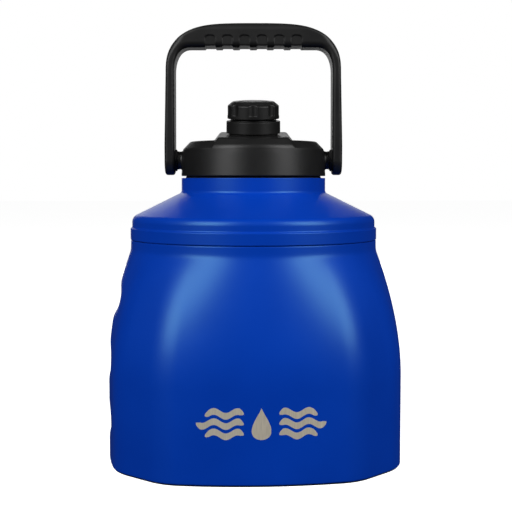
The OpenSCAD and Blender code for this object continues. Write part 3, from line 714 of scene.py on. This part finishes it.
def drop(steps=64, rings=6):
    """An inlaid water drop, pointed at the top."""
    t = 2 * math.pi * np.arange(steps) / steps
    u = DROP_W / 2 * np.sin(t) * np.sin(t / 2) ** 1.6 * 1.18
    v = DROP_H / 2 * np.cos(t)
    centre = -DROP_H * 0.14
    top = [on_front(u * k / rings, centre + (v - centre) * k / rings, PLATE_UP)
           for k in range(rings, 0, -1)]
    under = on_front(u, v, -PLATE_DOWN)
    middle = on_front(np.zeros(1), np.full(1, centre), PLATE_UP)
    points = np.concatenate([under, *top, middle])
    quads = []
    for i in range(rings):
        for j in range(steps):
            m = (j + 1) % steps
            quads.append((i * steps + j, (i + 1) * steps + j, (i + 1) * steps + m, i * steps + m))
    last = rings * steps
    fan = [(last + j, len(points) - 1, last + (j + 1) % steps) for j in range(steps)]
    return points, quads + fan + [tuple(range(steps))]


def motif():
    points, faces = [], []

    def add(part):
        base = sum(len(p) for p in points)
        points.append(part[0])
        faces.extend([tuple(i + base for i in face) for face in part[1]])

    add(drop())
    for side in (-1, 1):
        for row, reach in WAVE_ENDS.items():
            start, end = sorted((side * WAVE_START, side * reach))

            def middle(u):
                return row * WAVE_PITCH + WAVE_SWING * np.sin(
                    2 * math.pi * (np.abs(u) - WAVE_START) / WAVE_LENGTH)

            def half_width(u):
                to_end = np.minimum(u - start, end - u)
                return WAVE_HALF_W * np.clip(to_end / WAVE_TAPER + 0.04, 0, 1) ** 0.5

            add(strip(middle, half_width, start, end))
    mesh = bpy.data.meshes.new("etched_motif")
    mesh.from_pydata((np.concatenate(points) * MM).tolist(), [], faces)
    mesh.validate()
    mesh.materials.append(ETCHED_STEEL)
    piece = bpy.data.objects.new("etched_motif", mesh)
    bpy.context.scene.collection.objects.link(piece)
    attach(piece, "vessel")


# ---- lid ----

def plane(p, point, normal):
    """Signed distance to a plane, negative behind its normal."""
    return (p - np.array(point)) @ np.array(normal)


def lid_field():
    # The outlines start beyond the axis, so that no edge of theirs shows in the solid's middle
    outside = outline_field(rounded([
        (-5, SKIRT_Z, 0), (SKIRT_R, SKIRT_Z, 0.5), (SKIRT_TOP_R, SKIRT_TOP_Z, 1.8),
        (BEVEL_R, SKIRT_TOP_Z + BEVEL_H, 2.2), (BEVEL_R - 4, LID_TOP_Z, 3), (-5, LID_TOP_Z, 0)]))
    cavity = outline_field(rounded([
        (-5, SKIRT_Z - 5, 0), (SKIRT_R - COVER_WALL, SKIRT_Z - 5, 0),
        (SKIRT_TOP_R - COVER_WALL, SKIRT_TOP_Z - 1, 1), (BEVEL_R - 1, LID_TOP_Z - COVER_WALL, 1),
        (-5, LID_TOP_Z - COVER_WALL, 0)]))
    front_z = PLATFORM_Z - (PLATFORM_FRONT - SPOUT_OFFSET) * math.tan(SPOUT_TILT)
    rear_z = PLATFORM_Z + (PLATFORM_REAR + SPOUT_OFFSET) * math.tan(SPOUT_TILT)
    lean = math.atan((SKIRT_TOP_R - PLATFORM_FRONT - 0.4) / (front_z - SKIRT_TOP_Z - PLATFORM_EDGE_UP))
    taper = math.atan((SKIRT_R - SKIRT_TOP_R) / (SKIRT_TOP_Z - SKIRT_Z))
    side_out, side_up = PLATFORM_SIDE
    diagonal = math.sqrt(0.5)

    def platform(p, radius):
        """The tilted platform: its front runs on from the skirt, its sides and rear slope."""
        out, up = radius - SKIRT_TOP_R, p[:, 2] - SKIRT_TOP_Z
        front = both(out * math.cos(lean) + (up - PLATFORM_EDGE_UP) * math.sin(lean),
                     out * math.cos(taper) + up * math.sin(taper), 0.9)
        field = both(to_spout(p)[:, 2], front, 1.0)
        for side in (-1, 1):
            corner = (side * PLATFORM_HALF_W, -PLATFORM_FRONT, front_z)
            normal = (side * side_out * math.cos(PLATFORM_YAW), -side_out * math.sin(PLATFORM_YAW), side_up)
            field = both(field, plane(p, corner, normal), 1.0)
        field = both(field, plane(p, (0, PLATFORM_REAR, rear_z), (0, diagonal, diagonal)), 1.0)
        return np.maximum(field, -PLATFORM_FOOT - up)

    def hub(p):
        out = np.abs(p[:, 0])
        across = np.hypot(p[:, 1], p[:, 2] - PIVOT_Z)
        waist = HUB_R - 0.1 - WAIST_DEPTH * np.exp(-((out - WAIST_X) / WAIST_W) ** 2)
        return both(across - waist, out - HUB_END, 0.25)

    def field(p):
        radius = np.hypot(p[:, 0], p[:, 1])
        # In front the platform and the skirt are one surface, so the fillet fades out there
        beside = np.maximum(np.abs(p[:, 0]) - PLATFORM_HALF_W, p[:, 1] + 12) / 3
        fillet = 0.9 * np.clip(np.minimum(beside, (p[:, 2] - SKIRT_TOP_Z) / 2), 0.01, 1)
        solid = either(outside(radius, p[:, 2]), platform(p, radius), fillet)
        solid = either(solid, hub(p), 1.0)
        solid = less(solid, cavity(radius, p[:, 2]), 0.4)
        spout = to_spout(p)
        solid = less(solid, np.hypot(spout[:, 0], spout[:, 1]) - SPOUT_R - 0.2, 0.3)
        screws = np.hypot(p[:, 1], p[:, 2] - PIVOT_Z) - SCREW_BORE_R
        return less(solid, screws, 0.2)

    return field


def lid_top():
    lowest = (-HUB_END, -SKIRT_R, SKIRT_Z)
    highest = (HUB_END, SKIRT_R, PLATFORM_Z + 4)
    mesh = field_mesh(lid_field(), lowest, highest, cell_size(0.6))
    make_piece("lid_top", placed(mesh, turn_lid), LID_BLACK, "lid", ["lid_cover"])


def spout_rings():
    ring = rounded([
        (SPOUT_R + 0.1, WASHER_T, 0.2), (RING_R - 0.03, WASHER_T, 0.5), (RING_R - 0.12, RING_TOP - 0.4, 0.3),
        (RING_R - 0.5, RING_TOP, 0.2), (SPOUT_R + 3.5, RING_TOP, 0.3),
        (SPOUT_R + 3.5, RING_TOP + 0.8, 0.2), (SPOUT_R + 0.1, RING_TOP + 0.8, 0.2)])
    mesh = placed(turned_mesh(ring, 192), from_spout, turn_lid)
    make_piece("spout_ring", mesh, CAP_BLACK, "lid", ["spout_collar"])
    washer = rounded([
        (SPOUT_R + 0.1, 0, 0.1), (WASHER_R, 0, 0.3), (WASHER_R, WASHER_T, 0.3),
        (SPOUT_R + 0.1, WASHER_T, 0.1)], 4)
    mesh = placed(turned_mesh(washer, 144), from_spout, turn_lid)
    make_piece("spout_seal_ring", mesh, SILICONE, "lid", ["spout_washer"])


def cap_field():
    disc_r = CAP_R - CAP_BEVEL_W - CAP_LAND_W
    outside = outline_field(rounded([
        (-3, CAP_LOW, 0), (CAP_R, CAP_LOW, 0.45), (CAP_R, CAP_BEVEL_LOW, 0.7),
        (CAP_R - CAP_BEVEL_W, CAP_TOP, 1.6), (disc_r + 0.35, CAP_TOP, 0.3),
        (disc_r, CAP_TOP + CAP_DISC_H, 0.3), (-3, CAP_TOP + CAP_DISC_H, 0)]))
    bore = outline_field([
        (-3, CAP_LOW - 3), (CAP_BORE_R, CAP_LOW - 3), (CAP_BORE_R, CAP_TOP - CAP_ROOF_T),
        (-3, CAP_TOP - CAP_ROOF_T)])
    turn = 2 * math.pi / FLUTES
    cutter_x = CAP_R - FLUTE_DEPTH + FLUTE_R

    def field(p):
        radius = np.hypot(p[:, 0], p[:, 1])
        solid = outside(radius, p[:, 2])
        off = (np.arctan2(p[:, 0], -p[:, 1]) + turn / 2) % turn - turn / 2
        cutter = np.hypot(radius * np.cos(off) - cutter_x, radius * np.sin(off)) - FLUTE_R
        flute = both(cutter, FLUTE_LOW - p[:, 2], 0.4)
        rim = 0.08 + 0.17 * np.clip(p[:, 2] - FLUTE_LOW - 0.3, 0, 1)
        return less(less(solid, flute, rim), bore(radius, p[:, 2]), 0.15)

    return field


def cap_top():
    lowest = (-CAP_R, -CAP_R, CAP_LOW)
    highest = (CAP_R, CAP_R, CAP_TOP + 0.4)
    mesh = placed(field_mesh(cap_field(), lowest, highest, cell_size(0.28)), from_spout, turn_lid)
    make_piece("fluted_cap", mesh, CAP_BLACK, "cap", ["cap_shell"])


# ---- handle, in a frame whose origin is the middle of the pivot axis ----

HANDLE_H = HANDLE_TOP_Z - PIVOT_Z


def handle_field():
    grip_low = HANDLE_H - GRIP_T
    outer = super_arc(ARM_OUTER - ARM_TAPER, CORNER_H, 2.9, 28) + (0, HANDLE_H - CORNER_H)
    inner = super_arc(INNER_CORNER_W, INNER_CORNER_H, 2.3, 20) + (
        ARM_INNER - INNER_CORNER_W, grip_low - INNER_CORNER_H)
    right = [(ARM_OUTER, -ARM_END_R - 2), (ARM_OUTER, ARM_END_R), *outer]
    left = [(-x, z) for x, z in right[-2::-1]]
    under = [(-ARM_INNER, -ARM_END_R - 2), *[(-x, z) for x, z in inner], *inner[::-1],
             (ARM_INNER, -ARM_END_R - 2)]
    front_view = outline_field(right + left + under)
    half = GRIP_DEPTH / 2
    top_arc = rounded([
        (-half, 0, 0), (half, 0, 0), (half, HANDLE_H, GRIP_ROUND), (-half, HANDLE_H, GRIP_ROUND)], 8)[2:]
    taper = outline_field([(-ARM_END_R, 0), (ARM_END_R, 0), (half, HANDLE_H - CORNER_H), *top_arc,
                           (-half, HANDLE_H - CORNER_H)])
    places = (np.arange(NOTCHES) - (NOTCHES - 1) / 2) * NOTCH_PITCH

    def notch(p):
        number = np.round(p[:, 0] / NOTCH_PITCH + (NOTCHES - 1) / 2)
        nearest = places[np.clip(number, 0, NOTCHES - 1).astype(int)]
        across = np.abs(p[:, 0] - nearest) - NOTCH_W / 2
        face = both(across, p[:, 2] - grip_low - NOTCH_H, 2.2)
        face = both(face, half - NOTCH_DEPTH - np.abs(p[:, 1]), 0.3)
        groove = both(across, p[:, 2] - grip_low - 1.0, 0.3)
        return np.minimum(face, groove)

    def field(p):
        side_view = np.minimum(taper(p[:, 1], p[:, 2]), np.hypot(p[:, 1], p[:, 2]) - ARM_END_R)
        under_grip = (np.clip((p[:, 2] - grip_low + 8) / 8, 0, 1)
                      * np.clip((grip_low + 8 - p[:, 2]) / 4, 0, 1))
        foot = np.clip((4 - p[:, 2]) / 8, 0, 1)
        solid = both(front_view(p[:, 0], p[:, 2]), side_view, 2.3 + 1.7 * under_grip - 0.4 * foot)
        solid = less(solid, notch(p), 0.45)
        across = np.hypot(p[:, 1], p[:, 2])
        pocket = np.maximum(across - POCKET_R, ARM_OUTER - POCKET_DEPTH - np.abs(p[:, 0]))
        return less(less(solid, pocket, 0.3), across - BUSH_R, 0.1)

    return field


def carry_handle():
    lowest = (-ARM_OUTER, -GRIP_DEPTH / 2, -ARM_END_R)
    highest = (ARM_OUTER, GRIP_DEPTH / 2, HANDLE_H)
    mesh = field_mesh(handle_field(), lowest, highest, cell_size(0.6))
    mesh = placed(mesh, lambda p: p + (0, 0, PIVOT_Z), turn_lid)
    make_piece("carry_handle", mesh, HANDLE_BLACK, "handle", ["handle"])


def pivot_parts():
    """The friction washers and the covers over the screws, on both arms."""
    washer = rounded([
        (SCREW_BORE_R, -FRICTION_T, 0), (HUB_R - 0.1, -FRICTION_T, 0.2), (HUB_R, -FRICTION_T * 0.75, 0.3),
        (FRICTION_R, -FRICTION_T * 0.55, 0.3), (FRICTION_R, 0, 0.1), (SCREW_BORE_R, 0, 0)], 4)
    washer += (0, ARM_INNER)
    cover_r = high("pivot_caps")[2] - PIVOT_Z
    cover = rounded([
        (0.01, ARM_OUTER - 1, 0), (cover_r, ARM_OUTER - 1, 0), (cover_r, ARM_OUTER - 0.05, 0.35),
        (3.4, ARM_OUTER - 0.05, 0.3), (3.1, ARM_OUTER - 0.3, 0.3), (0.01, ARM_OUTER - 0.3, 0)], 4)
    for name, path, material, body, node, finish in (
            ("friction_washer", washer, SILICONE, "lid", "pivot_washers", "black_rubber"),
            ("pivot_cover", cover, HANDLE_BLACK, "handle", "pivot_caps", "black_plastic")):
        for side, word in ((-1, "left"), (1, "right")):
            def lie(p, side=side):
                return np.stack([side * p[:, 2], side * p[:, 1], p[:, 0] + PIVOT_Z], 1)

            points, faces, normals = placed(turned_mesh(path, 96), lie, turn_lid)
            faces = faces[:, ::-1]
            make_piece(f"{name}_{word}", (points, faces, normals), material, body, [node])


# ---- materials of the CAD nodes that stay ----

def finish_cad_nodes():
    finishes = {
        "inner_vessel": LINER_STEEL, "shell_bottom": BLUE, "vacuum_plug": FIXING_STEEL,
        "getter": FIXING_STEEL, "lid_gasket": SILICONE, "lid_plug": INNER_BLACK, "lid_foam": FOAM,
        "spout": INNER_BLACK, "cap_seal": SILICONE, "cap_liner": INNER_BLACK,
        "pivot_bushes": FIXING_STEEL, "pivot_screws": FIXING_STEEL,
    }
    for node, material in finishes.items():
        NODES[node].data.materials.clear()
        NODES[node].data.materials.append(material)


# ---- floor, light and camera ----

CAMERA_DISTANCE = 770       # from the jug's axis
CAMERA_HEIGHT = 192.4
CAMERA_RIGHT = 1.82
CAMERA_AZIMUTH = math.radians(-3)
CAMERA_PITCH = math.radians(4.134)
CAMERA_LENS = 77.34


def camera():
    data = bpy.data.cameras.new("camera")
    data.lens = CAMERA_LENS
    data.sensor_width = 36
    data.clip_start = 0.01
    data.clip_end = 100
    view = bpy.data.objects.new("camera", data)
    bpy.context.scene.collection.objects.link(view)
    c, s = math.cos(CAMERA_AZIMUTH), math.sin(CAMERA_AZIMUTH)
    x = CAMERA_DISTANCE * s + CAMERA_RIGHT * c
    y = -CAMERA_DISTANCE * c + CAMERA_RIGHT * s
    view.location = (x * MM, y * MM, CAMERA_HEIGHT * MM)
    view.rotation_euler = (math.pi / 2 - CAMERA_PITCH, 0, CAMERA_AZIMUTH)
    bpy.context.scene.camera = view


ROOM_LIGHT = 0.02
WALL_LIGHT = 1.0
PAPER_GLOW = 0.96


def softbox(name, azimuth, elevation, distance, width, height, power, aim=0.15):
    """A rectangular soft light; azimuth 0 is in front of the jug and 90 on its right."""
    data = bpy.data.lights.new(name, "AREA")
    data.shape = "RECTANGLE"
    data.size = width
    data.size_y = height
    data.energy = power
    lamp = bpy.data.objects.new(name, data)
    bpy.context.scene.collection.objects.link(lamp)
    a, e = math.radians(azimuth), math.radians(elevation)
    x, y, z = math.sin(a) * math.cos(e), -math.cos(a) * math.cos(e), math.sin(e)
    lamp.location = (distance * x, distance * y, distance * z + aim)
    lamp.rotation_euler = (math.pi / 2 - e, 0, a)
    return lamp


def studio():
    floor_mesh = bpy.data.meshes.new("floor")
    corners = [(-8, -8, 0), (8, -8, 0), (8, 8, 0), (-8, 8, 0)]
    floor_mesh.from_pydata(corners, [], [(0, 1, 2, 3)])
    floor = bpy.data.objects.new("floor", floor_mesh)
    bpy.context.scene.collection.objects.link(floor)
    paper = Nodes("pale_paper", Roughness=0.9, Specular_IOR_Level=0.1)
    paper.set("Base Color", paper.mixed(paper.noise(3), (0.86, 0.86, 0.865, 1), (0.88, 0.88, 0.885, 1)))
    floor_mesh.materials.append(paper.material)
    paper.shader.inputs["Emission Color"].default_value = (1, 1, 1, 1)
    paper.shader.inputs["Emission Strength"].default_value = PAPER_GLOW
    floor.visible_glossy = False
    floor.visible_diffuse = False

    # The camera sees a pale wall; everything else sees a dark room with soft boxes in it
    world = bpy.data.worlds.new("studio")
    bpy.context.scene.world = world
    world.use_nodes = True
    nodes, links = world.node_tree.nodes, world.node_tree.links
    seen = nodes.new("ShaderNodeLightPath").outputs["Is Camera Ray"]
    level = nodes.new("ShaderNodeMapRange")
    level.inputs["To Min"].default_value = ROOM_LIGHT
    level.inputs["To Max"].default_value = WALL_LIGHT
    links.new(seen, level.inputs["Value"])
    links.new(level.outputs["Result"], nodes["Background"].inputs["Strength"])
    nodes["Background"].inputs["Color"].default_value = (1, 1, 1, 1)

    softbox("left_box", -47, 30, 1.5, 0.8, 1.1, 17.5)
    softbox("right_box", 50, 30, 1.5, 0.8, 1.1, 16.5)
    softbox("back_panel", 180, 12, 1.6, 1.0, 1.1, 4.5).visible_camera = False
    bpy.context.scene.view_settings.view_transform = "Standard"


body_shell()
shoulder()
base_rubber()
motif()
lid_top()
spout_rings()
cap_top()
carry_handle()
pivot_parts()
finish_cad_nodes()
camera()
studio()
